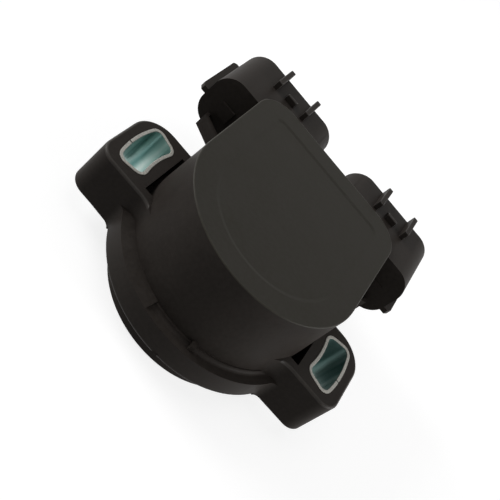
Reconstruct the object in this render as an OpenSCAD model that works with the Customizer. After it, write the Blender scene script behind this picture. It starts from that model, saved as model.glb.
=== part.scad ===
// Throttle position sensor with two plug sockets.
// Millimetres. Origin on the rotor axis at the lower end of the spigot.
// +Z runs up to the cover, +Y runs out of the sockets, +X runs from one ear to the other.

/* [Spigot and flange] */
// Outer radius of the spigot that enters the throttle body
spigot_r = 24.3; // [23:0.1:24.4]
// Height of the spigot below the mounting face
spigot_h = 6.4; // [6.2:0.1:8]
// Wall of the spigot
spigot_wall = 2.5; // [1.8:0.1:3]
// Width of the flange round the spigot
flange_step = 5; // [4.9:0.1:6]
// Thickness of the flange
flange_t = 6.9; // [6:0.1:8]
// Rounding of the flange's lower edge
flange_round = 1.2; // [0.4:0.1:1.4]
// Width of the ledge round the drum's foot
ledge_w = 3; // [2.6:0.1:3.2]
// Extra height of the raised ledge beside the left ear
ledge_rise = 1.2; // [0.6:0.1:2]
// Angle where the raised ledge stops
ledge_end = -104; // [-110:1:-95]
// Section diameter of the flange seal
seal_d = 2; // [1.6:0.1:2.1]
// Space between the spigot and the seal groove
seal_land = 1.1; // [0.8:0.1:1.4]

/* [Drum] */
// Growth of the drum's radius from the rim down to its foot
drum_draft = 0.6; // [0.3:0.1:0.9]
// Distance of the drum's centre ahead of the rotor axis
drum_shift = 0.5; // [0:0.1:0.8]
// Height of the drum's rim above the flange
drum_h = 19.7; // [18:0.1:22]
// Wall of the drum
drum_wall = 2.7; // [2.4:0.1:3]
// Fillet at the drum's foot
foot_fillet = 1; // [0.4:0.1:1.4]
// Reach of the flat side by the sockets beyond the drum's radius
drum_out = 13.1; // [12:0.1:13.4]
// Radius of the drum's two corners by the sockets
corner_r = 8.7; // [6:0.1:10]
// Thickness of the floor between the chamber and the recess
floor_t = 2.5; // [2:0.1:3]
// Depth of the recess under the floor
recess_h = 9; // [8.8:0.1:9.4]

/* [Ears] */
// Distance from the middle of a slot to the ear's outer face
ear_rim = 6.8; // [6:0.1:8]
// Half width of an ear on the sockets' side
ear_back = 13; // [12:0.1:14]
// Half width of an ear on the other side
ear_front = 11.9; // [11.8:0.1:13]
// Radius of an ear's outer corner on the sockets' side
back_corner = 8.4; // [4:0.1:9]
// Radius of an ear's other outer corner
front_corner = 4.5; // [3:0.1:6]
// Fillet between an ear and the flange
flange_fillet = 2.5; // [1:0.1:4]
// Fillet between an ear and the drum
drum_fillet = 6; // [2:0.1:8]
// Height of an ear
ear_h = 13.45; // [12:0.05:15]
// Plastic between a slot liner and the pocket
ear_skin = 2.8; // [2.4:0.1:3]
// Half length of the pocket between an ear and the drum
pocket_half = 9.2; // [8:0.1:10]
// Distance from the flange's edge to the middle of a slot
slot_out = 4.7; // [4.4:0.1:5.4]
// Half width of a slot liner outside
liner_half = 4.1; // [3.8:0.05:4.4]
// Half angle of a slot liner outside
liner_angle = 15.4; // [14:0.1:17]
// Turn of the slots towards the sockets
liner_turn = 1; // [0:0.5:2]
// Rounding of a slot liner's corners
liner_corner = 2.6; // [1.6:0.1:3]
// Sheet thickness of a slot liner
liner_t = 0.9; // [0.6:0.05:1.2]
// Height of a slot liner above its ear
liner_proud = 0.15; // [0:0.05:0.4]
// Width of the seam in a slot liner
liner_seam = 0.3; // [0.2:0.05:0.6]

/* [Sockets] */
// Distance from the rotor axis to a socket's middle
socket_x = 20.75; // [20.6:0.05:22.5]
// Outer width of a socket
socket_w = 32.1; // [29:0.1:32.4]
// Outer height of a socket
socket_h = 17; // [15:0.1:18]
// Height of a socket's underside
socket_z = 17; // [16:0.1:18]
// Outer corner radius of a socket
socket_corner = 6; // [4:0.1:7]
// Wall of a socket
socket_wall = 1.8; // [1.4:0.1:2.4]
// Length of a socket outside
socket_l = 20.7; // [19:0.1:24]
// Stretch of a socket that lies beside the drum
socket_lap = 8.3; // [7.5:0.1:9]
// Thickness of plastic between the chamber and a socket's hollow
socket_floor = 1.6; // [1.2:0.1:2.4]
// Distance between the two guide ribs of a socket
guide_gap = 10.6; // [9:0.1:12]
// Width of a guide rib
guide_w = 1.5; // [1:0.1:2]
// Height of a guide rib
guide_h = 2.7; // [1.5:0.1:3]
// Length of a guide rib
guide_l = 9.5; // [7:0.1:11]
// Width of the latch ramp
latch_w = 3.4; // [2.5:0.1:5]
// Height of the latch ramp
latch_h = 1.8; // [1.2:0.1:2.4]
// Length of the latch ramp
latch_l = 4.2; // [3:0.1:6]
// Width of a socket's side rail
rail_w = 2.2; // [2:0.1:4]
// Height of a socket's side rail
rail_h = 1.6; // [1.2:0.1:4]
// Height of the left socket's side rail above the socket's underside
rail_z = 6.6; // [5:0.1:8]
// Step down to the right socket's rail, which keeps the two plugs apart
rail_step = 1.9; // [1:0.1:2.4]
// Thickness of the web between a socket and the drum
web_t = 0.9; // [0.7:0.1:1.5]
// Height of that web
web_h = 4.2; // [3:0.1:6]
// Angle of that web to the sockets' back face
web_angle = 27; // [20:1:45]
// Distance of the web's corner from the sockets' back face
web_end = 1.8; // [1:0.1:2.4]
// Width of the block over the terminals on a socket's back face
block_w = 4.5; // [3:0.1:6]
// Height of that block
block_h = 4.1; // [3:0.1:6]
// How far that block stands out
block_d = 0.6; // [0.3:0.1:1.5]
// Distance of that block from the socket's middle
block_x = 9; // [8:0.1:10]
// Height of that block's middle above the socket's underside
block_z = 7.5; // [6:0.1:9]

/* [Terminals] */
// Distance between two blades
blade_pitch = 4.5; // [4:0.1:5]
// Width of a blade
blade_w = 2; // [1.2:0.1:2.4]
// Sheet thickness of a terminal
blade_t = 0.64; // [0.4:0.02:0.8]
// Length of a blade in its socket
blade_l = 8.2; // [6:0.1:9]
// Distance between two tails
tail_pitch = 3.8; // [3.4:0.1:4]
// Distance from the rotor axis to the middle tail
tail_x = 17.2; // [16.5:0.1:17.5]
// Width of a tail
tail_w = 1; // [0.8:0.05:1.2]
// Height of a tail above the board
tail_over = 1.4; // [0.8:0.1:2]

/* [Cover] */
// Thickness of the cover
cover_t = 2.2; // [1.8:0.1:3]
// Depth of the shallow panel in the cover
panel_depth = 0.2; // [0.1:0.05:0.4]
// Margin round that panel
panel_margin = 6; // [4:0.1:8]
// Height of the cover's locating rib
cover_rib_h = 1.4; // [1:0.1:2]
// Width of the cover's locating rib
cover_rib_w = 1.2; // [0.8:0.1:1.6]
// Width of the seal bead under the cover
bead_w = 1; // [0.8:0.05:1.1]
// Height of the seal bead
bead_h = 0.8; // [0.5:0.05:1]

/* [Rotor] */
// Radius of the rotor's journal
journal_r = 6; // [5.8:0.1:6.2]
// Wall of the bearing bush
bush_wall = 1.5; // [1.2:0.1:1.8]
// Length of the bearing bush below its flange's seat
bush_l = 7.5; // [6:0.1:8]
// Running clearance of the journal in its bush
running = 0.03; // [0.02:0.01:0.08]
// Radius of the drive socket
drive_r = 4.05; // [3.8:0.05:4.2]
// Depth of the drive socket
drive_l = 10.4; // [8:0.1:11]
// Width of the cross slot for the shaft's pin
key_w = 2.4; // [1.6:0.1:3]
// Length of that slot across the hub
key_l = 12.4; // [10:0.1:12.6]
// Depth of that slot
key_h = 3; // [2:0.1:4]
// Radius of the rotor's hub below its disc
hub_r = 7; // [6.5:0.1:7.5]
// Radius of the rotor's disc
disc_r = 9; // [8.8:0.1:9.5]
// Thickness of the rotor's disc
disc_t = 1.8; // [1.5:0.1:2]
// Reach of the rotor's stop arm
arm_reach = 15.5; // [14.5:0.1:16]
// Width of the rotor's stop arm
arm_w = 5; // [4:0.1:6]
// Angle of the stop arm at rest
arm_angle = 225; // [215:1:230]
// Turn of the rotor from one stop to the other
travel = 95; // [80:1:100]
// Thickness of the thrust washer
washer_t = 0.5; // [0.3:0.05:0.6]
// Thickness of the retaining clip
clip_t = 0.8; // [0.6:0.05:1]

/* [Return spring] */
// Wire diameter of the spring
wire_d = 1; // [0.8:0.05:1]
// Gap between the rotor's hub and the coils
coil_gap = 1.4; // [1:0.1:2]
// Whole turns in the coil before the part turn
coil_turns = 2; // [1:1:2]
// Rise of the coil in one turn
coil_pitch = 1.06; // [1.05:0.01:1.1]
// Height of the lowest turn's middle
coil_z = 1.4; // [1.2:0.1:1.6]
// Angle of the fixed leg
leg_angle = 90; // [70:1:110]
// Bend radius of the legs
leg_bend = 1.5; // [1.2:0.1:2]

/* [Wiper and board] */
// Height of the board's underside above the floor
board_lift = 14.7; // [13:0.1:15.5]
// Thickness of the board
board_t = 1.6; // [1:0.1:2]
// Gap between the board's edge and the chamber
board_gap = 0.4; // [0.2:0.05:0.8]
// Radius of the wiper carrier's hub
carrier_r = 8; // [7.5:0.1:9]
// Height of the wiper carrier's hub
carrier_h = 4; // [3:0.1:4.5]
// Width of a wiper arm
carrier_w = 7; // [6:0.1:8]
// Thickness of the wiper leaves
leaf_t = 0.25; // [0.15:0.05:0.3]
// Distance from the chamber's wall to the middle of the resistor track
track_in = 6.6; // [6.2:0.1:7]
// Distance between the middles of the two tracks
track_gap = 3.2; // [2.8:0.1:3.4]
// Angle that a track runs past its wiper at each end
track_over = 14; // [10:1:18]
// Width of a track
track_w = 1.8; // [1.4:0.1:2]
// Thickness of a printed track
track_t = 0.12; // [0.08:0.02:0.2]
// Radius of the board's posts
post_r = 1.3; // [1:0.1:1.5]

/* [Hidden] */
$fn = 96;
// Small overshoot of every cut, and small gap between pieces that slide or drop in
cut = 0.5;
slip = 0.05;
// Main radii and reaches, all carried by the spigot's radius
flange_r = spigot_r + flange_step;
foot_r = flange_r - ledge_w;
drum_r = foot_r - drum_draft;
drum_back = drum_r + drum_out;
slot_circle = flange_r + slot_out;
ear_reach = slot_circle + ear_rim;
ear_inner = slot_circle - liner_half - ear_skin;
socket_back = drum_back - socket_lap;
socket_mouth = socket_back + socket_l;
// Levels, from the spigot's end upward
face_z = spigot_h;
ledge_z = face_z + flange_t;
rim_z = ledge_z + drum_h;
top_z = rim_z + cover_t;
ear_top = face_z + ear_h;
chamber_z = recess_h + floor_t;
back_z = socket_z + floor_t;
seam_y = -1.9;
recess_r = spigot_r - spigot_wall;
chamber_r = drum_r - drum_wall;
chamber_back = drum_back - drum_wall + 0.6;
board_z = chamber_z + board_lift;
blade_z = socket_z + socket_h / 2 - blade_t / 2;
hollow_y = drum_back + socket_floor;
guide_y = socket_mouth - guide_l;
// Tracks and wiper arms
resistor_r = chamber_r - track_in;
collector_r = resistor_r - track_gap;
carrier_reach = collector_r + 0.8;
// Rotor levels and radii
bush_r = journal_r + running;
bush_out = bush_r + bush_wall;
bush_flange_r = bush_out + 1.3;
bush_flange_t = 0.8;
bush_seat = recess_h - 1;
bush_top = bush_seat + bush_l;
boss_r = bush_out + 2;
disc_top = bush_seat - bush_flange_t - washer_t - slip;
disc_z = disc_top - disc_t;
hub_z = 1.6;
coil_r = hub_r + coil_gap + wire_d / 2;
groove_r = journal_r - 0.75;
clip_z = bush_top + slip;
neck_r = journal_r - 1;
neck_flat = 1;
carrier_z = clip_z + clip_t + 0.6;
hook_r = 1.2;
hook_at = arm_reach - 2.4;
hook_z = disc_z - 2;
// Sweep of the stop arm, and the posts that end it
stop_inner = arm_reach - 4;
arm_half = asin(arm_w / 2 / stop_inner);
stop_gap = 1;
stop_half = 5;
// Where the seal groove and the board's posts lie
seal_r = spigot_r + seal_land + seal_d / 2 + slip * 2;
post_over = 0.8;
post_ring = chamber_r - post_r - 0.35;
post_angles = [200, 270, 340];
post_corner = [chamber_r - 3.2, chamber_back - 6.2];

function polar(r, a) = [r * cos(a), r * sin(a)];

function arc(centre, r, a0, a1, steps) =
    [for (i = [0 : steps]) centre + polar(r, a0 + (a1 - a0) * i / steps)];

// A slot with round corners that follows a circle about the rotor axis, on the +X side
function slot_outline(mid_r, half_w, half_a, corner) =
    let (ro = mid_r + half_w - corner,
         ri = mid_r - half_w + corner,
         ao = half_a - asin(corner / ro),
         ai = half_a - asin(corner / ri))
    concat(arc([0, 0], mid_r + half_w, -ao, ao, 10),
           arc(polar(ro, ao), corner, ao, half_a + 90, 5),
           arc(polar(ri, ai), corner, half_a + 90, ai + 180, 5),
           arc([0, 0], mid_r - half_w, ai, -ai, 10),
           arc(polar(ri, -ai), corner, 180 - ai, 270 - half_a, 5),
           arc(polar(ro, -ao), corner, 270 - half_a, 360 - ao, 5));

module liner_outline(inset) {
    half_a = liner_angle - inset * 57.3 / slot_circle;
    rotate(liner_turn) polygon(slot_outline(slot_circle, liner_half - inset, half_a, liner_corner - inset));
}

// The D outline of the drum, with inset measured inward from the rim
module d_outline(inset) {
    r = drum_r - inset;
    c = corner_r - inset;
    back = drum_back - inset;
    translate([0, drum_shift]) circle(r);
    translate([-r, drum_shift]) square([2 * r, back - c - drum_shift]);
    translate([c - r, drum_shift]) square([2 * (r - c), back - drum_shift]);
    for (side = [-1, 1]) translate([side * (r - c), back - c]) circle(c);
}

// The chamber's outline, with inset measured inward from its wall
module chamber_outline(inset) {
    r = chamber_r - inset;
    c = corner_r - drum_wall - inset;
    back = chamber_back - inset;
    translate([0, drum_shift]) circle(r);
    translate([-r, drum_shift]) square([2 * r, back - c - drum_shift]);
    translate([c - r, drum_shift]) square([2 * (r - c), back - drum_shift]);
    for (side = [-1, 1]) translate([side * (r - c), back - c]) circle(c);
}

// A rounded rectangle about the origin
module round_rect(w, h, r) {
    square([w - 2 * r, h], center = true);
    square([w, h - 2 * r], center = true);
    for (x = [-1, 1], y = [-1, 1]) translate([x * (w / 2 - r), y * (h / 2 - r)]) circle(r, $fn = 48);
}

// The flange and spigot in one turned profile
module flange_ring() {
    rotate_extrude() polygon(concat(
        [[recess_r, 0], [spigot_r, 0], [spigot_r, face_z]],
        arc([flange_r - flange_round, face_z + flange_round], flange_round, 270, 360, 4),
        [[flange_r, ledge_z]],
        arc([foot_r + foot_fillet, ledge_z + foot_fillet], foot_fillet, 270, 180, 4),
        [[recess_r, ledge_z + foot_fillet]]));
}

// The raised stretch of ledge that slopes from the drum out to the flange's edge
module raised_ledge() {
    rotate([0, 0, 180]) rotate_extrude(angle = 180 + ledge_end)
        polygon([[foot_r - 2, ledge_z - cut], [flange_r, ledge_z - cut], [flange_r, ledge_z],
                 [foot_r, ledge_z + ledge_rise], [foot_r - 2, ledge_z + ledge_rise]]);
}

module drum_body() {
    translate([0, drum_shift, ledge_z]) cylinder(h = drum_h, r1 = foot_r, r2 = drum_r);
    translate([0, 0, socket_z]) linear_extrude(rim_z - socket_z) d_outline(0);
}

// Concave fillet on the +X side between the line y = side and a circle about [0, middle]
module side_fillet(side, r, middle, f) {
    centre = [sqrt(pow(r + f, 2) - pow(side + f - middle, 2)), side + f];
    inner = [0, middle] + (centre - [0, middle]) * (r - 1) / (r + f);
    difference() {
        polygon([[centre[0], side - 1], centre, inner, [inner[0], side - 1]]);
        translate(centre) circle(f);
    }
}

module ear_outline(r, middle, f) {
    inner = foot_r - 6;
    difference() {
        union() {
            translate([inner, -ear_front]) square([ear_reach - back_corner - inner, ear_front + ear_back]);
            translate([inner, -ear_front]) square([ear_reach - front_corner - inner, ear_front]);
            translate([inner, front_corner - ear_front])
                square([ear_reach - inner, ear_front - front_corner + ear_back - back_corner]);
            translate([ear_reach - front_corner, front_corner - ear_front]) circle(front_corner, $fn = 48);
            translate([ear_reach - back_corner, ear_back - back_corner]) circle(back_corner, $fn = 64);
            side_fillet(ear_back, r, middle, f);
            mirror([0, 1]) side_fillet(ear_front, r, -middle, f);
        }
        liner_outline(0);
    }
}

module ear() {
    translate([0, 0, face_z]) linear_extrude(ledge_z - face_z) ear_outline(flange_r, 0, flange_fillet);
    translate([0, 0, ledge_z]) linear_extrude(ear_top - ledge_z) ear_outline(foot_r, drum_shift, drum_fillet);
}

module ear_pocket() {
    translate([foot_r - 8, -pocket_half, ledge_z]) cube([ear_inner - foot_r + 8, 2 * pocket_half, ear_h]);
}

module at_socket(side) {
    translate([side * socket_x, socket_back, socket_z + socket_h / 2]) rotate([-90, 0, 0]) children();
}

module socket_body(side) {
    at_socket(side) linear_extrude(socket_mouth - socket_back) round_rect(socket_w, socket_h, socket_corner);
    for (rib = [-1, 1])
        translate([side * socket_x + rib * guide_gap / 2 - guide_w / 2, guide_y, socket_z + socket_h - cut])
            cube([guide_w, guide_l, guide_h + cut]);
    translate([side * socket_x - latch_w / 2, guide_y + 0.5, socket_z + socket_h])
        rotate([90, 0, 90]) linear_extrude(latch_w)
            polygon([[0, -cut], [0, latch_h], [0.8, latch_h], [latch_l, 0], [latch_l, -cut]]);
    rail_in = socket_x + socket_w / 2 - cut;
    rail_out = rail_in + cut + rail_w;
    rail_at = socket_z + (side < 0 ? rail_z : rail_z - rail_step);
    translate([0, 0, rail_at]) linear_extrude(rail_h)
        polygon([[side * rail_in, socket_back], [side * (rail_out - 0.8), socket_back],
                 [side * rail_out, socket_back + 1.2], [side * rail_out, socket_mouth - 1.4],
                 [side * (rail_out - 0.8), socket_mouth - 0.6], [side * rail_in, socket_mouth - 0.6]]);
    // Block over the terminals on the back face
    translate([side * (socket_x + block_x), socket_back, socket_z + block_z])
        cube([block_w, 2 * block_d, block_h], center = true);
}

module socket_hollow(side) {
    translate([0, hollow_y - socket_back, 0]) at_socket(side)
        linear_extrude(socket_mouth - hollow_y + cut)
            round_rect(socket_w - 2 * socket_wall, socket_h - 2 * socket_wall, socket_corner - socket_wall);
}

// Thin web from a socket's back face to the drum's side
module web(side) {
    x0 = drum_r - 0.5;
    x1 = socket_x + socket_w / 2 - socket_corner * 0.7;
    corner_y = socket_back - web_end;
    y0 = corner_y - tan(web_angle) * (x1 - x0);
    inner_y = corner_y + web_t * (1.2 - tan(web_angle));
    translate([0, 0, socket_z - 0.4]) linear_extrude(web_h)
        polygon([[side * x0, y0], [side * x1, corner_y], [side * x1, socket_back + 0.4],
                 [side * (x1 - web_t), socket_back + 0.4], [side * (x1 - web_t), inner_y],
                 [side * x0, y0 + web_t * 1.2]]);
}

// Outline of a terminal seen from above: blade, slanting neck and tail
module terminal_outline(blade_x, tail_at) {
    tip = hollow_y + blade_l;
    neck0 = hollow_y - 0.6;
    neck1 = chamber_back + 0.4;
    polygon([[blade_x - blade_w / 4, tip], [blade_x + blade_w / 4, tip], [blade_x + blade_w / 2, tip - 0.9],
             [blade_x + blade_w / 2, neck0], [tail_at + tail_w / 2, neck1],
             [tail_at + tail_w / 2, chamber_back - 2.2], [tail_at - tail_w / 2, chamber_back - 2.2],
             [tail_at - tail_w / 2, neck1], [blade_x - blade_w / 2, neck0],
             [blade_x - blade_w / 2, tip - 0.9]]);
}

module terminal_shape(side, place) {
    blade_x = side * (socket_x + place * blade_pitch);
    tail_at = side * (tail_x + place * tail_pitch);
    translate([0, 0, blade_z]) linear_extrude(blade_t) terminal_outline(blade_x, tail_at);
    translate([tail_at - tail_w / 2, chamber_back - 2.2, blade_z])
        cube([tail_w, blade_t, board_z + board_t + tail_over - blade_z]);
}

// Posts that carry the board, with a thinner pin through it
module board_post(foot) {
    translate([0, 0, foot - cut]) cylinder(h = board_z - foot + cut, r = post_r, $fn = 32);
    translate([0, 0, foot]) cylinder(h = board_z + board_t + post_over - foot, r = post_r - 0.5, $fn = 32);
}

module at_round_posts() {
    for (a = post_angles) translate([post_ring * cos(a), drum_shift + post_ring * sin(a), 0]) children();
}

module at_back_posts() {
    for (side = [-1, 1]) translate([side * post_corner[0], post_corner[1], 0]) children();
}

// Stop for the rotor's arm, on the recess's wall
module stop_post(a) {
    translate([0, 0, hook_z]) intersection() {
        rotate_extrude() translate([stop_inner, 0])
            square([recess_r + 1 - stop_inner, recess_h - hook_z + cut]);
        linear_extrude(recess_h) polygon([[0, 0], polar(40, a - stop_half), polar(40, a + stop_half)]);
    }
}

// Post with a notch for the spring's fixed leg
module spring_post() {
    rotate([0, 0, leg_angle - leg_bend / coil_r * 57.3]) difference() {
        translate([coil_r + 4.6, -2.4, 0.6]) cube([recess_r + 1 - coil_r - 4.6, 4.8, recess_h - 0.6 + cut]);
        translate([coil_r + 4.6 - cut, -wire_d / 2 - slip, 0.6 - cut])
            cube([3.6 + cut, wire_d + 2 * slip, coil_z + wire_d / 2 + slip - 0.6 + cut]);
    }
}

module housing() {
    color("#1f1d1c") {
        difference() {
            union() {
                flange_ring();
                raised_ledge();
                drum_body();
                for (side = [0, 1]) mirror([side, 0, 0]) difference() {
                    ear();
                    ear_pocket();
                }
                for (side = [-1, 1]) {
                    socket_body(side);
                    web(side);
                }
                // Floor and the boss round the bush
                translate([0, 0, recess_h]) cylinder(h = floor_t, r = recess_r + 1);
            }
            translate([0, drum_shift, chamber_z]) cylinder(h = rim_z - chamber_z + cut, r = chamber_r);
            translate([0, 0, back_z]) linear_extrude(rim_z - back_z + cut) chamber_outline(0);
            // Seat of the cover, which the sockets' tops stand beside
            translate([0, 0, rim_z]) linear_extrude(cover_t + cut) d_outline(-slip);
            // Groove for the seal bead under the cover
            translate([0, 0, rim_z - bead_h]) linear_extrude(bead_h + cut) difference() {
                d_outline(0.8);
                d_outline(0.8 + bead_w + 2 * slip);
            }
            // Groove for the flange seal
            translate([0, 0, face_z - cut]) difference() {
                cylinder(h = seal_d * 0.75 + cut, r = seal_r + seal_d / 2 + slip * 2);
                translate([0, 0, -cut]) cylinder(h = seal_d + 2 * cut, r = spigot_r + seal_land);
            }
            translate([0, 0, -cut]) cylinder(h = recess_h + floor_t + 2 * cut, r = bush_out);
            for (side = [-1, 1]) socket_hollow(side);
            for (side = [-1, 1], place = [-1, 0, 1]) terminal_shape(side, place);
            // Vent notch under the flange
            rotate([0, 0, -86]) translate([spigot_r + seal_land + seal_d + 1, -0.8, face_z - cut])
                cube([flange_r, 1.6, 1.4 + cut]);
        }
        difference() {
            translate([0, 0, bush_seat]) cylinder(h = bush_l, r = boss_r);
            translate([0, 0, bush_seat - cut]) cylinder(h = bush_l + 2 * cut, r = bush_out);
        }
        at_round_posts() board_post(chamber_z);
        at_back_posts() board_post(back_z);
        stop_post(arm_angle - arm_half - stop_gap - stop_half);
        stop_post(arm_angle + travel + arm_half + stop_gap + stop_half);
        spring_post();
        // Small rib over the ledge at the front
        rotate([0, 0, -76.5]) translate([foot_r - 1.6, -0.6, ledge_z - cut]) cube([3, 1.2, 1.8 + cut]);
    }
}

module cover() {
    color("#32312b") difference() {
        union() {
            translate([0, 0, rim_z]) linear_extrude(cover_t) d_outline(0);
            translate([0, 0, rim_z - cover_rib_h]) linear_extrude(cover_rib_h + cut) difference() {
                chamber_outline(slip * 3);
                chamber_outline(slip * 3 + cover_rib_w);
            }
        }
        translate([0, 0, top_z - panel_depth]) linear_extrude(panel_depth + cut) d_outline(panel_margin);
    }
}

module cover_seal() {
    color("#5a2f24") translate([0, 0, rim_z - bead_h]) linear_extrude(bead_h) difference() {
        d_outline(0.8 + slip);
        d_outline(0.8 + slip + bead_w);
    }
}

module slot_liner() {
    color("#b9bcbc") translate([0, 0, face_z]) difference() {
        linear_extrude(ear_h + liner_proud) difference() {
            liner_outline(0);
            liner_outline(liner_t);
        }
        translate([slot_circle, seam_y - liner_seam / 2, -cut])
            cube([liner_half + 1, liner_seam, ear_h + 1 + 2 * cut]);
    }
}

module slot_liner_left() {
    mirror([1, 0, 0]) slot_liner();
}

module slot_liner_right() {
    slot_liner();
}

module flange_seal() {
    color("#232323") translate([0, 0, face_z + seal_d / 4]) rotate_extrude()
        translate([seal_r, 0]) circle(seal_d / 2, $fn = 32);
}

// Hub and grooved journal in one turned profile
module rotor_core() {
    rotate_extrude() polygon([
        [0, hub_z], [hub_r, hub_z], [hub_r, disc_z + cut], [journal_r, disc_z + cut],
        [journal_r, clip_z - slip / 2], [groove_r, clip_z - slip / 2],
        [groove_r, clip_z + clip_t + slip / 2], [journal_r, clip_z + clip_t + slip / 2],
        [journal_r, carrier_z], [0, carrier_z]]);
}

// Round bar with one flat, standing on its lower end
module flatted_bar(r, flat, h) {
    intersection() {
        cylinder(h = h, r = r);
        translate([-r - 1, -r - 1, 0]) cube([2 * r + 1 - flat, 2 * r + 2, h]);
    }
}

module rotor() {
    color("#d8d2c0") difference() {
        union() {
            rotor_core();
            translate([0, 0, carrier_z - cut]) flatted_bar(neck_r, neck_flat, carrier_h + cut);
            rotate([0, 0, arm_angle]) {
                translate([0, 0, disc_z]) linear_extrude(disc_t) {
                    circle(disc_r);
                    polygon([[0, -arm_w / 2], [arm_reach - 1, -arm_w / 2], [arm_reach, 1 - arm_w / 2],
                             [arm_reach, arm_w / 2 - 1], [arm_reach - 1, arm_w / 2], [0, arm_w / 2]]);
                }
                translate([hook_at, 0, hook_z]) cylinder(h = disc_z - hook_z + cut, r = hook_r, $fn = 32);
            }
        }
        translate([0, 0, hub_z - cut]) cylinder(h = drive_l + cut, r = drive_r);
        translate([-key_l / 2, -key_w / 2, hub_z - cut]) cube([key_l, key_w, key_h + cut]);
    }
}

module rotor_bush() {
    color("#9c7a3c") difference() {
        union() {
            translate([0, 0, bush_seat]) cylinder(h = bush_l, r = bush_out);
            translate([0, 0, bush_seat - bush_flange_t]) cylinder(h = bush_flange_t, r = bush_flange_r);
        }
        translate([0, 0, bush_seat - bush_flange_t - cut])
            cylinder(h = bush_l + bush_flange_t + 2 * cut, r = bush_r);
    }
}

module thrust_washer() {
    color("#c9c9c4") translate([0, 0, bush_seat - bush_flange_t - washer_t]) difference() {
        cylinder(h = washer_t, r = bush_flange_r - 0.3);
        translate([0, 0, -cut]) cylinder(h = washer_t + 2 * cut, r = journal_r + 0.1);
    }
}

module retaining_clip() {
    color("#8d9093") translate([0, 0, clip_z]) linear_extrude(clip_t) difference() {
        circle(boss_r - 1);
        circle(groove_r + slip);
        translate([0, -groove_r * 0.8]) square([boss_r, groove_r * 1.6]);
        for (a = [135, 225]) rotate(a) translate([groove_r + 1.2, 0]) circle(0.8, $fn = 24);
    }
}

// The spring's path: straight leg, bend, coil, bend, straight leg
coil_sweep = 360 * coil_turns + arm_angle - leg_angle + asin((hook_r + wire_d / 2 + slip) / hook_at);
coil_rise = coil_pitch * coil_sweep / 360;
leg_out = coil_r + 7.4;
leg_in = hook_at + hook_r;

function bend_angle(u) = leg_bend * sin(u) / coil_r * 57.3;

function path_point(r, a, z) = [r * cos(a), r * sin(a), z];

start_a = leg_angle;
end_a = leg_angle + coil_sweep - bend_angle(90);
spring_path = concat(
    [path_point(leg_out, start_a - bend_angle(90), coil_z)],
    [for (u = [90 : -22.5 : 0])
        path_point(coil_r + leg_bend * (1 - cos(u)), start_a - bend_angle(u), coil_z)],
    [for (i = [1 : 45])
        path_point(coil_r, start_a + (end_a - start_a) * i / 46, coil_z + coil_rise * i / 46)],
    [for (u = [0 : 22.5 : 90])
        path_point(coil_r + leg_bend * (1 - cos(u)), end_a + bend_angle(u), coil_z + coil_rise)],
    [path_point(leg_in, end_a + bend_angle(90), coil_z + coil_rise)]);

function unit(v) = v / norm(v);

module swept_wire(path, r, sides) {
    last = len(path) - 1;
    rings = [for (i = [0 : last])
        let (along = unit(path[min(i + 1, last)] - path[max(i - 1, 0)]),
             across = unit(cross(along, [0, 0, 1])),
             up = cross(across, along))
        for (s = [0 : sides - 1]) path[i] + r * (cos(360 * s / sides) * across + sin(360 * s / sides) * up)];
    walls = [for (i = [0 : last - 1], s = [0 : sides - 1])
        [i * sides + s, i * sides + (s + 1) % sides, (i + 1) * sides + (s + 1) % sides, (i + 1) * sides + s]];
    ends = [[for (s = [sides - 1 : -1 : 0]) s], [for (s = [0 : sides - 1]) last * sides + s]];
    polyhedron(points = rings, faces = concat(walls, ends), convexity = 6);
}

module return_spring() {
    color("#a7a9ab") swept_wire(spring_path, wire_d / 2, 10);
}

module wiper_carrier() {
    color("#e6e0cf") difference() {
        union() {
            translate([0, 0, carrier_z]) cylinder(h = carrier_h, r = carrier_r);
            for (a = [0, 180]) rotate([0, 0, arm_angle + a])
                translate([0, -carrier_w / 2, carrier_z]) cube([carrier_reach, carrier_w, 2]);
        }
        translate([0, 0, carrier_z - cut]) flatted_bar(neck_r, neck_flat, carrier_h + 2 * cut);
    }
}

// A sprung leaf with fingers that reach up to the tracks, lying along +X before it is turned
module wiper(fingers) {
    foot = carrier_z + 2;
    touch = board_z - track_t - slip;
    rise = touch - foot;
    translate([0, 0, foot]) linear_extrude(leaf_t)
        translate([carrier_r + 0.3, -carrier_w / 2 + 1])
            square([carrier_reach - carrier_r - 0.6, carrier_w - 2]);
    for (f = fingers) translate([0, f[1] - f[2] / 2, foot]) rotate([90, 0, 0]) translate([0, 0, -f[2]])
        linear_extrude(f[2]) polygon([
            [carrier_reach - 0.6, 0], [carrier_reach - 0.3, 0],
            [f[0] + 0.4, rise - leaf_t], [f[0] + 0.4, rise],
            [f[0] - 0.4, rise], [f[0] - 0.4, rise - leaf_t], [carrier_reach - 0.6, leaf_t]]);
}

module sensor_wiper() {
    color("#c79a4b") rotate([0, 0, arm_angle])
        wiper([[resistor_r, -1.6, 0.8], [resistor_r, 0.4, 0.8], [collector_r, 1.8, 0.8]]);
}

module switch_wiper() {
    color("#c79a4b") rotate([0, 0, arm_angle + 180])
        wiper([[resistor_r, -1.2, 0.8], [collector_r, 1.2, 0.8]]);
}

module element_board() {
    color("#2f5b3a") difference() {
        translate([0, 0, board_z]) linear_extrude(board_t) chamber_outline(board_gap);
        translate([0, 0, board_z - cut]) {
            at_round_posts() cylinder(h = board_t + 2 * cut, r = post_r - 0.4, $fn = 32);
            at_back_posts() cylinder(h = board_t + 2 * cut, r = post_r - 0.4, $fn = 32);
        }
        for (side = [-1, 1], place = [-1, 0, 1])
            translate([side * (tail_x + place * tail_pitch), chamber_back - 2.2 + blade_t / 2, board_z - cut])
                cylinder(h = board_t + 2 * cut, r = tail_w * 0.75, $fn = 24);
    }
}

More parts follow.
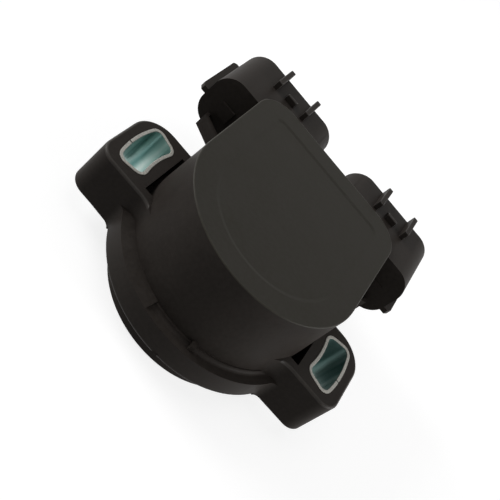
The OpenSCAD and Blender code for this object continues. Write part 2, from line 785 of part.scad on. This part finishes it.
module track(r, a0, a1) {
    rotate([0, 0, a0]) rotate_extrude(angle = a1 - a0) translate([r - track_w / 2, 0])
        square([track_w, track_t]);
}

module element_tracks() {
    color("#2b2b2b") translate([0, 0, board_z - track_t]) {
        for (r = [collector_r, resistor_r]) {
            track(r, arm_angle - track_over, arm_angle + travel + track_over);
            track(r, arm_angle - track_over - 180, arm_angle + travel + track_over - 180);
        }
    }
}

module terminal(side, place) {
    color("#c2c4c6") terminal_shape(side, place);
}

module terminal_left_1() {
    terminal(-1, -1);
}

module terminal_left_2() {
    terminal(-1, 0);
}

module terminal_left_3() {
    terminal(-1, 1);
}

module terminal_right_1() {
    terminal(1, -1);
}

module terminal_right_2() {
    terminal(1, 0);
}

module terminal_right_3() {
    terminal(1, 1);
}

housing();
cover();
cover_seal();
slot_liner_left();
slot_liner_right();
flange_seal();
rotor();
rotor_bush();
thrust_washer();
retaining_clip();
return_spring();
wiper_carrier();
sensor_wiper();
switch_wiper();
element_board();
element_tracks();
terminal_left_1();
terminal_left_2();
terminal_left_3();
terminal_right_1();
terminal_right_2();
terminal_right_3();
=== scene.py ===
# Throttle position sensor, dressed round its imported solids.
# Metres, with the rotor's axis on Z, +Z up to the cover and +Y out of the plug sockets.
import math

import bmesh
import bpy
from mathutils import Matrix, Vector


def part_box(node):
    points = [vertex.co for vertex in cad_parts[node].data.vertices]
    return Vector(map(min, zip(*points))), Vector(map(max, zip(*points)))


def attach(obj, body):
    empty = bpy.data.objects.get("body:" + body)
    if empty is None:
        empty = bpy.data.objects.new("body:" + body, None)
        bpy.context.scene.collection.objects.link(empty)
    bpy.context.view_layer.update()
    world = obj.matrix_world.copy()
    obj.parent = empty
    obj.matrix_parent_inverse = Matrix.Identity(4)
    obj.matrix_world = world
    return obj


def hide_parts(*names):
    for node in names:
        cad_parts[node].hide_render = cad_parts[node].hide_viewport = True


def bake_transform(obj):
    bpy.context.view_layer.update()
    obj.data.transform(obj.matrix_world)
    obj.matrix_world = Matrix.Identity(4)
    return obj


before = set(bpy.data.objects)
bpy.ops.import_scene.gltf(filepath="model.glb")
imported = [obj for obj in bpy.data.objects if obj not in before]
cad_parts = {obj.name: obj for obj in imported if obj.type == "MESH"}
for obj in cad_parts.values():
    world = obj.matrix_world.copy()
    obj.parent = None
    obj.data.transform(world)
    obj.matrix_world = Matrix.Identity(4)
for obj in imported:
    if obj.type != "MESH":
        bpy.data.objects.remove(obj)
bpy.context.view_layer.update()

# Housing
# One moulding in black glass-filled nylon: spigot, flange, drum, two ears and two plug sockets.
# The mould leaves a fine eroded grain and soft corners, with a painted highlight: a paler, glossier line
# along them.
MM = 0.001
NEAR = 0.01  # places that are closer than this, in millimetres, count as one


def linear(code):
    """An sRGB hex colour as the linear values that a shader reads."""
    parts = [int(code[i : i + 2], 16) / 255 for i in (1, 3, 5)]
    return [p / 12.92 if p <= 0.04045 else ((p + 0.055) / 1.055) ** 2.4 for p in parts] + [1.0]


def add_node(tree, kind, inputs=None, **settings):
    """Adds a shader node; inputs holds numbers, colours or the sockets to link."""
    node = tree.nodes.new(kind)
    for name, value in settings.items():
        setattr(node, name, value)
    for place, value in (inputs or {}).items():
        if isinstance(value, bpy.types.NodeSocket):
            tree.links.new(value, node.inputs[place])
        else:
            node.inputs[place].default_value = value
    return node


def start_material(name):
    """A new material, its node tree, and the socket with the place on the piece in metres."""
    material = bpy.data.materials.new(name)
    material.use_nodes = True
    tree = material.node_tree
    return material, tree, add_node(tree, "ShaderNodeTexCoord").outputs["Object"]


def finish_surface(tree, colour, gloss, height, strength, depth):
    """Links colour, roughness and a bump that is depth metres deep, and returns the shader."""
    skin = tree.nodes["Principled BSDF"]
    bumps = add_node(tree, "ShaderNodeBump", {"Height": height, "Strength": strength, "Distance": depth})
    tree.links.new(colour, skin.inputs["Base Color"])
    tree.links.new(gloss, skin.inputs["Roughness"])
    tree.links.new(bumps.outputs[0], skin.inputs["Normal"])
    return skin


def moulded_skin(name, dark, pale, gloss, grain, depth, shine=0.055):
    """Plastic or rubber from a mould: clouded tone and gloss over a fine grain.

    gloss is the least and the most roughness; grain and depth are the grain's size in metres.
    """
    material, tree, where = start_material(name)
    # The melt's flow leaves clouds about 9 mm across, and finer ones about 1 mm across
    broad, fine = [
        add_node(tree, "ShaderNodeTexNoise", {"Vector": where, "Scale": 1 / (size * MM), "Detail": detail})
        for size, detail in ((9, 4.0), (1.1, 3.0))
    ]
    layers = {0: broad.outputs[0], 1: fine.outputs[0]}
    both = add_node(tree, "ShaderNodeMath", layers, operation="ADD").outputs[0]
    tone = add_node(tree, "ShaderNodeMapRange", {0: both, 1: 0.75, 2: 1.25}).outputs[0]
    colour = add_node(tree, "ShaderNodeMix", {0: tone, 6: linear(dark), 7: linear(pale)}, data_type="RGBA")
    sheen = add_node(tree, "ShaderNodeMapRange", {0: both, 1: 0.7, 2: 1.3, 3: gloss[0], 4: gloss[1]})
    pits = add_node(tree, "ShaderNodeTexNoise", {"Vector": where, "Scale": 1 / grain, "Detail": 2.0})
    skin = finish_surface(tree, colour.outputs[2], sheen.outputs[0], pits.outputs[0], 0.35, depth)
    skin.inputs["IOR"].default_value = 1.5
    skin.inputs["Specular IOR Level"].default_value = shine
    return material


# The grain is about 0.1 mm on the part; it is drawn at 0.35 mm so that it shows in the render
nylon = moulded_skin("glass_filled_nylon", "#292522", "#302c29", (0.46, 0.58), 0.35 * MM, 0.03 * MM)
# The rounded corners take a painted highlight: the same plastic, a little paler and smoother
nylon_highlight = moulded_skin(
    "glass_filled_nylon_painted_highlight", "#2e2b28", "#383430", (0.38, 0.48), 0.6 * MM, 0.01 * MM, shine=0.15
)

WELD = 0.002 * MM  # corners this close together are one
FLAT = math.radians(0.4)  # faces that bend less than this against each other are one
CORNER = math.radians(32)  # a bend at least this sharp is a corner to round
SMOOTH = math.radians(40)  # a bend flatter than this is shaded smooth


def copy_of(node, name):
    """A joined-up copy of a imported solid, open in edit mode with all of it selected."""
    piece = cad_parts[node].copy()
    piece.data = piece.data.copy()
    piece.name = piece.data.name = name
    piece.parent = None
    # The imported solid's own properties stay behind
    for key in list(piece.keys()):
        del piece[key]
    bpy.context.scene.collection.objects.link(piece)
    # Two empty slots, so that a bevel can mark its strip for the second one
    piece.data.materials.clear()
    piece.data.materials.append(None)
    piece.data.materials.append(None)
    bpy.ops.object.select_all(action="DESELECT")
    piece.select_set(True)
    bpy.context.view_layer.objects.active = piece
    bpy.ops.object.mode_set(mode="EDIT")
    bpy.ops.mesh.select_mode(type="VERT")
    bpy.ops.mesh.select_all(action="SELECT")
    bpy.ops.mesh.remove_doubles(threshold=WELD)
    bpy.ops.mesh.customdata_custom_splitnormals_clear()
    bpy.ops.mesh.dissolve_limited(angle_limit=FLAT)
    return piece


def select_where(piece, kind, wanted):
    """Selects the edges or the faces for which wanted is true, and nothing else."""
    bpy.ops.mesh.select_mode(type=kind)
    bpy.ops.mesh.select_all(action="DESELECT")
    shape = bmesh.from_edit_mesh(piece.data)
    for part in shape.faces if kind == "FACE" else shape.edges:
        if wanted(part):
            part.select_set(True)
    bmesh.update_edit_mesh(piece.data)


def middle_of(edge):
    """The middle of an edge, in millimetres."""
    return (edge.verts[0].co + edge.verts[1].co) / 2 / MM


def is_corner(edge):
    """True on an outer corner, and not on the fine bends of a curved face."""
    return len(edge.link_faces) == 2 and edge.is_convex and edge.calc_face_angle() >= CORNER


def pick_corners(piece, wanted):
    """Selects the outer corners whose middle, in millimetres, is wanted."""
    select_where(piece, "EDGE", lambda edge: is_corner(edge) and wanted(middle_of(edge)))


def round_off(width, steps, strip=1):
    """Rounds the selected corners, width in millimetres; the new faces take the slot named by strip."""
    bpy.ops.mesh.bevel(offset=width * MM, segments=steps, profile=0.5, clamp_overlap=False, material=strip)


def settle(piece, body, node, skin, corner=None):
    """Leaves edit mode, smooths the shading, fills the two slots (the second with the corners' painted
    highlight, if given) and hands the piece to its body.
    """
    bpy.ops.object.mode_set(mode="OBJECT")
    bpy.ops.object.shade_smooth_by_angle(angle=SMOOTH)
    bpy.ops.object.modifier_add(type="WEIGHTED_NORMAL")
    piece.modifiers[-1].keep_sharp = True
    bpy.ops.object.modifier_apply(modifier=piece.modifiers[-1].name)
    piece.data.materials[0] = skin
    piece.data.materials[1] = corner or skin
    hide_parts(node)
    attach(piece, body)


shell = copy_of("housing", "housing_moulding")

# The wall in front of each ear ends in a step of 0.2 mm on the drum; here it runs in smoothly
WALL_END = Vector((21.5, -14.4))
STEP = 0.3  # the step's edges are shorter than this, and nearer to the wall's end


def is_wall_step(edge):
    """True on the short edges of that step, on either side."""
    middle = middle_of(edge)
    away = (Vector((abs(middle.x), middle.y)) - WALL_END).length
    return away < STEP and edge.calc_length() < STEP * MM


select_where(shell, "EDGE", is_wall_step)
bpy.ops.mesh.edge_collapse()

# Levels of the ears, and bounds that tell an ear's outline from what is beside it, in millimetres
EAR_FOOT = 6.4
EAR_TOP = 19.85
WALL_TIP = 23.4  # beyond this x the front wall's top is wide enough to round
POCKET_WALL = 27.5  # the pocket ends before this x
SLOT_END = 11.2  # the slot and the pocket end before this y
SLOT_REACH = 38.7  # the slot ends before this radius
FLANGE_REACH = 33  # the flange and its fillets end before this radius


def on_ear_rim(middle):
    """True on an ear's own outline, and not on the slot, the pocket or the drum beside it."""
    away = abs(middle.x)
    front = away > WALL_TIP and middle.y < -SLOT_END
    return front or away > POCKET_WALL and (middle.xy.length > SLOT_REACH or abs(middle.y) > SLOT_END)


pick_corners(shell, lambda m: abs(m.z - EAR_TOP) < NEAR and on_ear_rim(m))
round_off(0.6, 3)
# Below, the ears' corners get no painted highlight
pick_corners(shell, lambda m: abs(m.z - EAR_FOOT) < NEAR and on_ear_rim(m) and m.xy.length > FLANGE_REACH)
round_off(0.4, 2, strip=0)
# Mouths of the sockets, with their ribs
RIBS = 41  # the guide ribs and the mouths lie beyond this y
SOCKET_FOOT = 14  # the sockets lie above this level
SHARP_BAND = 1.2  # corners that are closer than this to the level of the ears' tops stay sharp
pick_corners(shell, lambda m: m.y > RIBS and m.z > SOCKET_FOOT and abs(m.z - EAR_TOP) > SHARP_BAND)
round_off(0.25, 2)
# The spigot's lower edge outside, which gets no painted highlight
SPIGOT_FOOT = 0.1  # only the spigot reaches below this level
SPIGOT_BORE = 20  # its recess lies within this radius
pick_corners(shell, lambda m: m.z < SPIGOT_FOOT and m.xy.length > SPIGOT_BORE)
round_off(0.3, 2, strip=0)
settle(shell, "casing", "housing", nylon, nylon_highlight)

# Cover
# A flat D-shaped lid in the same plastic, pressed and bonded into the drum's rim.
# Its top has a shallow panel and a paler, finer grain, and its rounded corner carries a painted highlight.
LID_TOP = 35.2
LID_RADIUS = 25  # beyond this radius lies the lid's round outline
LID_BACK = 37  # and beyond this y its flat side
PANEL_DEPTH = 0.2
PANEL_SLOPE = 1.4
RINGS = (0.15, 0.35, 0.35, 0.15)  # what each ring of the slope takes of the panel's depth
FACING = 0.9  # a face looks up or down where its normal has more than this much of Z
lid_skin = moulded_skin("matte_nylon_lid", "#312f2a", "#363430", (0.50, 0.60), 0.3 * MM, 0.02 * MM)
# A paler, glossier copy of the lid's plastic for its rounded corner: a painted highlight
lid_highlight = moulded_skin(
    "matte_nylon_lid_painted_highlight", "#32302a", "#3a3832", (0.36, 0.46), 0.6 * MM, 0.01 * MM, shine=0.09
)
lid = copy_of("cover", "cover_lid")


def in_panel(face):
    """True on the floor of the panel."""
    height = face.calc_center_median().z / MM
    return abs(height - (LID_TOP - PANEL_DEPTH)) < NEAR and face.normal.z > FACING


# The panel's step becomes a slope that starts and ends softly
select_where(lid, "FACE", in_panel)
bpy.ops.transform.translate(value=(0, 0, PANEL_DEPTH * MM))
bpy.ops.mesh.remove_doubles(threshold=WELD, use_unselected=True)
for share in RINGS:
    drop = share * PANEL_DEPTH * MM
    bpy.ops.mesh.inset(thickness=PANEL_SLOPE / len(RINGS) * MM, depth=-drop, use_even_offset=True)
pick_corners(lid, lambda m: abs(m.z - LID_TOP) < NEAR and (m.xy.length > LID_RADIUS or m.y > LID_BACK))
round_off(0.3, 3)
settle(lid, "casing", "cover", lid_skin, lid_highlight)
# Its side has the housing's coarser grain
lid.data.materials.append(nylon)
for face in lid.data.polygons:
    if face.material_index == 0 and face.normal.z < FACING:
        face.material_index = 2

# Slot liners
# Two collars rolled from zinc-plated steel strip, moulded into the ears to take the screws' load.
# The blue passivation shows teal with pale streaks inside; the strip's cut edge is bare and grey.
def zinc_plate(name, deep, tint, bright, gloss):
    """Blue-passivated zinc: streaks some 4.5 mm wide that run up the strip, under a fine frosting."""
    material, tree, where = start_material(name)
    drawn = add_node(tree, "ShaderNodeMapping", {"Vector": where, "Scale": (1.0, 1.0, 0.12)})
    grooves = {"Vector": drawn.outputs[0], "Scale": 1 / (4.5 * MM), "Detail": 1.5}
    streak = add_node(tree, "ShaderNodeTexNoise", grooves)
    ramp = add_node(tree, "ShaderNodeValToRGB", {0: streak.outputs[0]})
    stops = ramp.color_ramp.elements
    stops[0].position, stops[0].color = 0.36, linear(deep)
    stops[1].position, stops[1].color = 0.68, linear(bright)
    stops.new(0.52).color = linear(tint)
    spots = add_node(tree, "ShaderNodeTexNoise", {"Vector": where, "Scale": 1 / (0.4 * MM), "Detail": 2.0})
    frost = spots.outputs[0]
    dull = add_node(tree, "ShaderNodeMapRange", {0: frost, 1: 0.3, 2: 0.7, 3: gloss[0], 4: gloss[1]})
    skin = finish_surface(tree, ramp.outputs[0], dull.outputs[0], frost, 0.3, 0.02 * MM)
    skin.inputs["Metallic"].default_value = 0.9
    return material


def bare_metal(name, dark, pale, metallic, gloss, grain):
    """Bare or plated metal, mottled in spots of about the grain's size in metres."""
    material, tree, where = start_material(name)
    spots = add_node(tree, "ShaderNodeTexNoise", {"Vector": where, "Scale": 1 / grain, "Detail": 4.0})
    mottle = spots.outputs[0]
    spread = add_node(tree, "ShaderNodeMapRange", {0: mottle, 1: 0.3, 2: 0.7}).outputs[0]
    colour = add_node(tree, "ShaderNodeMix", {0: spread, 6: linear(dark), 7: linear(pale)}, data_type="RGBA")
    sheen = add_node(tree, "ShaderNodeMapRange", {0: mottle, 1: 0.3, 2: 0.7, 3: gloss[0], 4: gloss[1]})
    skin = finish_surface(tree, colour.outputs[2], sheen.outputs[0], mottle, 0.25, 0.02 * MM)
    skin.inputs["Metallic"].default_value = metallic
    return material


LINER_TOP = 20.0
sheared_edge = bare_metal("sheared_steel_edge", "#8d8b84", "#b4b2ab", 0.45, (0.5, 0.65), 0.5 * MM)
# The right liner's plating is a darker copy of the left one's, as painted shade, and also duller
for hand, plate in (
    ("left", zinc_plate("zinc_plate_left", "#628a86", "#a3bfb9", "#e6eae6", (0.28, 0.46))),
    ("right", zinc_plate("zinc_plate_right_painted_shade", "#4a6662", "#6a8480", "#8a9e9a", (0.46, 0.62))),
):
    node = "slot_liner_" + hand
    liner = copy_of(node, "rolled_liner_" + hand)
    pick_corners(liner, lambda m: m.z > LINER_TOP - NEAR or m.z < EAR_FOOT + NEAR)
    round_off(0.18, 2)
    settle(liner, "casing", node, plate, sheared_edge)
    for face in liner.data.polygons:
        if abs(face.normal.z) > FACING:
            face.material_index = 1

# Flange seal
# A nitrile rubber O-ring pressed into the groove in the mounting face.
# The rubber is a dull black, and keeps the fine line where its two mould halves met.
CORD_RADIUS = 1.0
CORD_SPARE = 0.02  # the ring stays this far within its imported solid
LINE_WIDTH = 0.05
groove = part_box("flange_seal")
ring_level = (groove[0].z + groove[1].z) / 2
bpy.ops.object.select_all(action="DESELECT")
bpy.ops.mesh.primitive_torus_add(
    major_radius=groove[1].x - CORD_RADIUS * MM,
    minor_radius=(CORD_RADIUS - CORD_SPARE) * MM,
    major_segments=160,
    minor_segments=24,
    location=(0, 0, ring_level),
)
o_ring = bpy.context.object
o_ring.name = o_ring.data.name = "rubber_o_ring"
bpy.ops.object.transform_apply(location=True, rotation=True, scale=True)
bpy.ops.object.mode_set(mode="EDIT")


def on_parting_line(edge):
    """True on the two circles at half height, outside and inside."""
    first, second = [v.co for v in edge.verts]
    halfway = all(abs(end.z - ring_level) < NEAR * MM for end in (first, second))
    return halfway and abs(first.xy.length - second.xy.length) < NEAR * MM


select_where(o_ring, "EDGE", on_parting_line)
bpy.ops.mesh.bevel(offset=LINE_WIDTH * MM, segments=2, profile=0.15, clamp_overlap=False)
bpy.ops.object.mode_set(mode="OBJECT")
bpy.ops.object.shade_smooth_by_angle(angle=SMOOTH)
rubber = moulded_skin("nitrile_rubber", "#161616", "#1f1f1f", (0.6, 0.75), 0.5 * MM, 0.02 * MM)
o_ring.data.materials.append(rubber)
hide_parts("flange_seal")
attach(o_ring, "casing")

# Cover seal
# A bead of red-brown silicone laid on the drum's rim before the lid is pressed down.
# It cures soft, with a bulging side and a slight gloss.
def rounded_copy(node, name, width, steps):
    """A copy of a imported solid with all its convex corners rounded, still open in edit mode."""
    piece = copy_of(node, name)
    pick_corners(piece, lambda middle: True)
    round_off(width, steps)
    return piece


bead = rounded_copy("cover_seal", "silicone_bead", 0.3, 3)
silicone = moulded_skin("cured_silicone", "#4e2820", "#6b382b", (0.28, 0.42), 1.2 * MM, 0.05 * MM)
settle(bead, "casing", "cover_seal", silicone)

# Rotor
# One moulding in natural acetal: hub with the drive bore, stop disc with its arm, and the journal.
# Unfilled and undyed, it is a warm off-white, and a little glossier than the housing.
rotor = rounded_copy("rotor", "rotor_moulding", 0.15, 2)
acetal = moulded_skin("natural_acetal", "#c8c0aa", "#d9d2be", (0.42, 0.55), 0.4 * MM, 0.02 * MM)
# A paler, glossier copy of the acetal for the rounded corners: a painted highlight
acetal_highlight = moulded_skin("natural_acetal_painted_highlight", "#d2cab5", "#e2dcc9", (0.34, 0.44), 0.6 * MM, 0.01 * MM)
settle(rotor, "rotor", "rotor", acetal, acetal_highlight)

# Rotor bush
# A flanged bearing of sintered bronze, pressed into the housing's boss from below.
# The pores hold oil, which darkens the bronze in specks.
bush = rounded_copy("rotor_bush", "sintered_bush", 0.12, 2)
bronze = bare_metal("sintered_bronze", "#5f461f", "#a17d3d", 0.85, (0.36, 0.52), 0.25 * MM)
settle(bush, "casing", "rotor_bush", bronze)

# Thrust washer
# A hardened steel shim between the rotor's disc and the bush.
# It is stamped and tumbled, so its corners are soft and its faces bright.
shim = rounded_copy("thrust_washer", "steel_shim", 0.08, 2)
tumbled = bare_metal("tumbled_steel", "#8b8d8f", "#b9bbbd", 0.9, (0.24, 0.36), 0.7 * MM)
settle(shim, "rotor", "thrust_washer", tumbled)

# Retaining clip
# A phosphated spring-steel clip that snaps into the journal's groove above the bush.
# The phosphate makes it dark grey and dull.
clip = rounded_copy("retaining_clip", "journal_clip", 0.1, 2)
phosphate = bare_metal("phosphated_steel", "#3c3e40", "#5e6062", 0.6, (0.48, 0.62), 0.3 * MM)
settle(clip, "rotor", "retaining_clip", phosphate)

# Return spring
# A coil of drawn music wire, with one leg in the housing's post and one round the arm's hook.
# The wire is smooth and bright with fine drawing marks; it winds up as the rotor turns.
LEG_ENDS = 14  # beyond this radius the only corners are those of the legs' cut ends
FATTENING = 0.012  # makes up for part of what subdivision draws the wire in, in millimetres
coil = copy_of("return_spring", "torsion_spring")
pick_corners(coil, lambda m: m.xy.length > LEG_ENDS)
round_off(0.08, 1)
bpy.ops.mesh.select_all(action="SELECT")
bpy.ops.transform.shrink_fatten(value=FATTENING * MM)
bpy.ops.object.mode_set(mode="OBJECT")
bpy.ops.object.modifier_add(type="SUBSURF")
coil.modifiers[-1].levels = 2
bpy.ops.object.modifier_apply(modifier=coil.modifiers[-1].name)
bpy.ops.object.shade_smooth_by_angle(angle=SMOOTH)
music_wire = bare_metal("drawn_music_wire", "#77797b", "#a9abad", 0.95, (0.2, 0.32), 0.5 * MM)
coil.data.materials[0] = coil.data.materials[1] = music_wire
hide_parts("return_spring")
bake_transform(coil)

# Wiper carrier
# A second moulding in the rotor's plastic, pressed over the two flats of the journal's neck.
# Its two arms hold the wipers under the board.
carrier = rounded_copy("wiper_carrier", "wiper_carrier_moulding", 0.15, 2)
settle(carrier, "rotor", "wiper_carrier", acetal, acetal_highlight)

# Sensor wiper
# Springy leaves of a precious-metal alloy, blanked, bent and staked to one carrier arm.
# The alloy is a bright pale gold. Its fingers press on the two tracks that give the throttle's angle.
contact = bare_metal("contact_alloy", "#a87a35", "#d6a95c", 0.95, (0.2, 0.34), 0.5 * MM)
sensor_leaf = rounded_copy("sensor_wiper", "sensor_wiper_leaf", 0.04, 1)
settle(sensor_leaf, "rotor", "sensor_wiper", contact)

# Switch wiper
# The same alloy on the opposite arm, for the closed and wide-open contacts.
# It has one finger less.
switch_leaf = rounded_copy("switch_wiper", "switch_wiper_leaf", 0.04, 1)
settle(switch_leaf, "rotor", "switch_wiper", contact)

# Element board
# Glass-epoxy laminate, routed to the chamber's D and heat-staked on the housing's posts.
# The glass weave shows through the green lacquer as a faint cross grid.
WAVE = 0.31  # distance between the wave texture's bands at a scale of 1


def woven_laminate(name, dark, pale):
    """Lacquered laminate with a glass weave about 0.7 mm apart."""
    material, tree, where = start_material(name)
    threads = {"Vector": where, "Scale": WAVE / (0.7 * MM), "Distortion": 0.4}
    warp, weft = [add_node(tree, "ShaderNodeTexWave", threads, bands_direction=axis) for axis in "XY"]
    crossing = {0: warp.outputs[1], 1: weft.outputs[1]}
    weave = add_node(tree, "ShaderNodeMath", crossing, operation="MULTIPLY").outputs[0]
    colour = add_node(tree, "ShaderNodeMix", {0: weave, 6: linear(dark), 7: linear(pale)}, data_type="RGBA")
    sheen = add_node(tree, "ShaderNodeMapRange", {0: weave, 3: 0.34, 4: 0.24})
    finish_surface(tree, colour.outputs[2], sheen.outputs[0], weave, 0.2, 0.02 * MM)
    return material


board = rounded_copy("element_board", "laminate_board", 0.1, 1)
lacquer = woven_laminate("green_lacquered_laminate", "#1f4a2b", "#3a6d47")
settle(board, "casing", "element_board", lacquer)

# Element tracks
# Four arcs of carbon ink, screen-printed on the board's underside and baked.
# The ink is a dull black with a soft, rounded edge.
tracks = rounded_copy("element_tracks", "carbon_tracks", 0.04, 1)
ink = moulded_skin("baked_carbon_ink", "#101010", "#232323", (0.55, 0.7), 0.15 * MM, 0.01 * MM)
settle(tracks, "casing", "element_tracks", ink)

# Terminals
# Six blades stamped from brass strip and tin-plated, moulded into the sockets' floors.
# Tin is bright but soft, so it shows a fine mottle and blurred reflections.
tin = bare_metal("tin_plate", "#8f9194", "#c4c6c8", 0.9, (0.24, 0.4), 0.8 * MM)
for place in ("left_1", "left_2", "left_3", "right_1", "right_2", "right_3"):
    blade = rounded_copy("terminal_" + place, "blade_" + place, 0.09, 2)
    settle(blade, "casing", "terminal_" + place, tin)

# Studio
# A white paper sweep that keeps a soft shadow, and a white room with very little light of its own.
# Four large soft lamps light the part, and the camera stands where the photograph was taken from.
WHITE = (1, 1, 1, 1)
AMBIENT = 0.085  # light that the room gives to the part
PAPER_GLOW = 0.79  # what lifts the paper to white where it is seen


def seen_rays(tree):
    """A socket that is 1 for the rays by which a background is seen, and 0 for those that light the part."""
    path = add_node(tree, "ShaderNodeLightPath").outputs
    outside = {0: path["Is Camera Ray"], 1: path["Is Glossy Ray"]}
    either = add_node(tree, "ShaderNodeMath", outside, operation="MAXIMUM").outputs[0]
    all_three = {0: either, 1: path["Is Transmission Ray"]}
    return add_node(tree, "ShaderNodeMath", all_three, operation="MAXIMUM").outputs[0]


world = bpy.data.worlds.new("studio_air")
bpy.context.scene.world = world
world.use_nodes = True
sky = world.node_tree
glow = sky.nodes["Background"]
glow.inputs["Color"].default_value = WHITE
strength = add_node(sky, "ShaderNodeMapRange", {0: seen_rays(sky), 3: AMBIENT, 4: 1.0})
sky.links.new(strength.outputs[0], glow.inputs["Strength"])

bpy.ops.object.select_all(action="DESELECT")
bpy.ops.mesh.primitive_plane_add(size=6, location=(0, 0, -0.2 * MM))
floor = bpy.context.object
floor.name = "studio_floor"
paper = bpy.data.materials.new("white_paper_sweep")
paper.use_nodes = True
tree = paper.node_tree
sheet = tree.nodes["Principled BSDF"]
sheet.inputs["Base Color"].default_value = linear("#a0a0a0")
sheet.inputs["Roughness"].default_value = 0.9
sheet.inputs["Emission Color"].default_value = WHITE
lift = add_node(tree, "ShaderNodeMath", {0: seen_rays(tree), 1: PAPER_GLOW}, operation="MULTIPLY")
tree.links.new(lift.outputs[0], sheet.inputs["Emission Strength"])
floor.data.materials.append(paper)

MIDDLE = (0, 0, 0.02)  # where the lamps point


def lamp(name, place, size, power):
    """A square soft lamp of that size in metres and power in watts, aimed at the part's middle."""
    bpy.ops.object.light_add(type="AREA", location=place)
    light = bpy.context.object
    light.name = name
    light.data.size = size
    light.data.energy = power
    light.rotation_euler = (Vector(MIDDLE) - Vector(place)).to_track_quat("-Z", "Y").to_euler()


lamp("top_box", (-0.15, -0.05, 0.75), 0.6, 1.0)
lamp("left_box", (-0.7, 0.05, 0.3), 0.4, 4.3)
lamp("right_box", (0.65, -0.25, 0.3), 0.4, 0.6)
lamp("side_box", (0.75, 0.02, 0.2), 0.4, 3.3)

bpy.ops.object.camera_add(location=(-0.01963, -0.17479, 0.15224))
camera = bpy.context.object
camera.rotation_euler = [math.radians(a) for a in (39.469, -40.316, 31.858)]
camera.data.lens = 66.44
camera.data.sensor_width = 36
camera.data.clip_start = 0.005
bpy.context.scene.camera = camera
bpy.context.scene.view_settings.view_transform = "Standard"
